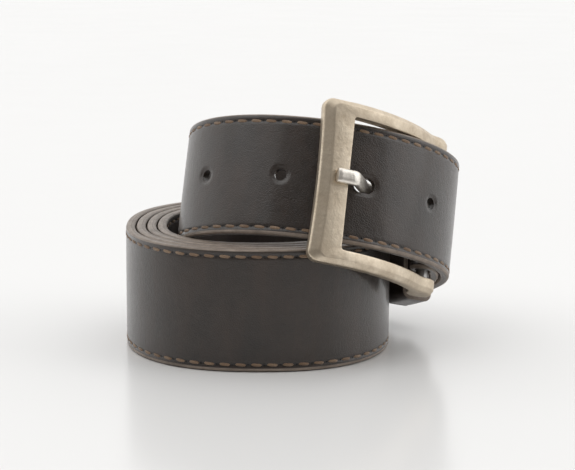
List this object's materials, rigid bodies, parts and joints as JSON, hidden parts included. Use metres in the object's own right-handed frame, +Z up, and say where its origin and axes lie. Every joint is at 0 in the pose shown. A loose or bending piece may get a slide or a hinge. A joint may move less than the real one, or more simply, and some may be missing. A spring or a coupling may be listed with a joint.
{
  "type": "leather belt",
  "caption": "Buckled dress belt of stitched leather, its free length wound into an oval coil that stands on its edge, with a square frame buckle, prong and keeper.",
  "frame": {"origin": "on the table under the middle of the bounding box", "axes": "+Z up from the table; -Y is the side that the buckle's front bar shows on; +X runs from the side where the loop sinks into the coil towards the keeper's side"},
  "size_m": [0.1, 0.0968, 0.0765],
  "materials": {
    "grain_leather": "satin",
    "lining_leather": "matt",
    "thread": "waxed",
    "nickel": "antique satin",
    "bright_nickel": "satin",
    "steel": "plain"
  },
  "bodies": {
    "strap": {"outer_strap": "grain_leather", "strap_lining": "lining_leather", "upper_edge_stitching": "thread", "lower_edge_stitching": "thread", "fold_stitching": "thread", "keeper_loop": "grain_leather", "keeper_staple": "steel"},
    "frame": {"buckle_frame": "nickel", "hinge_bar": "steel"},
    "tongue": {"prong": "bright_nickel"}
  },
  "joints": [
    {"name": "buckle_hinge", "type": "hinge", "parent": "strap", "child": "frame", "pos_m": [0.03966, -0.00817, 0.03982], "axis": [0.1034, 0.3802, 0.9191], "range_deg": [-0.5, 0.6]},
    {"name": "prong_hinge", "type": "hinge", "parent": "frame", "child": "tongue", "pos_m": [0.03966, -0.00817, 0.03982], "axis": [0.1034, 0.3802, 0.9191], "range_deg": [0, 0.5]}
  ]
}
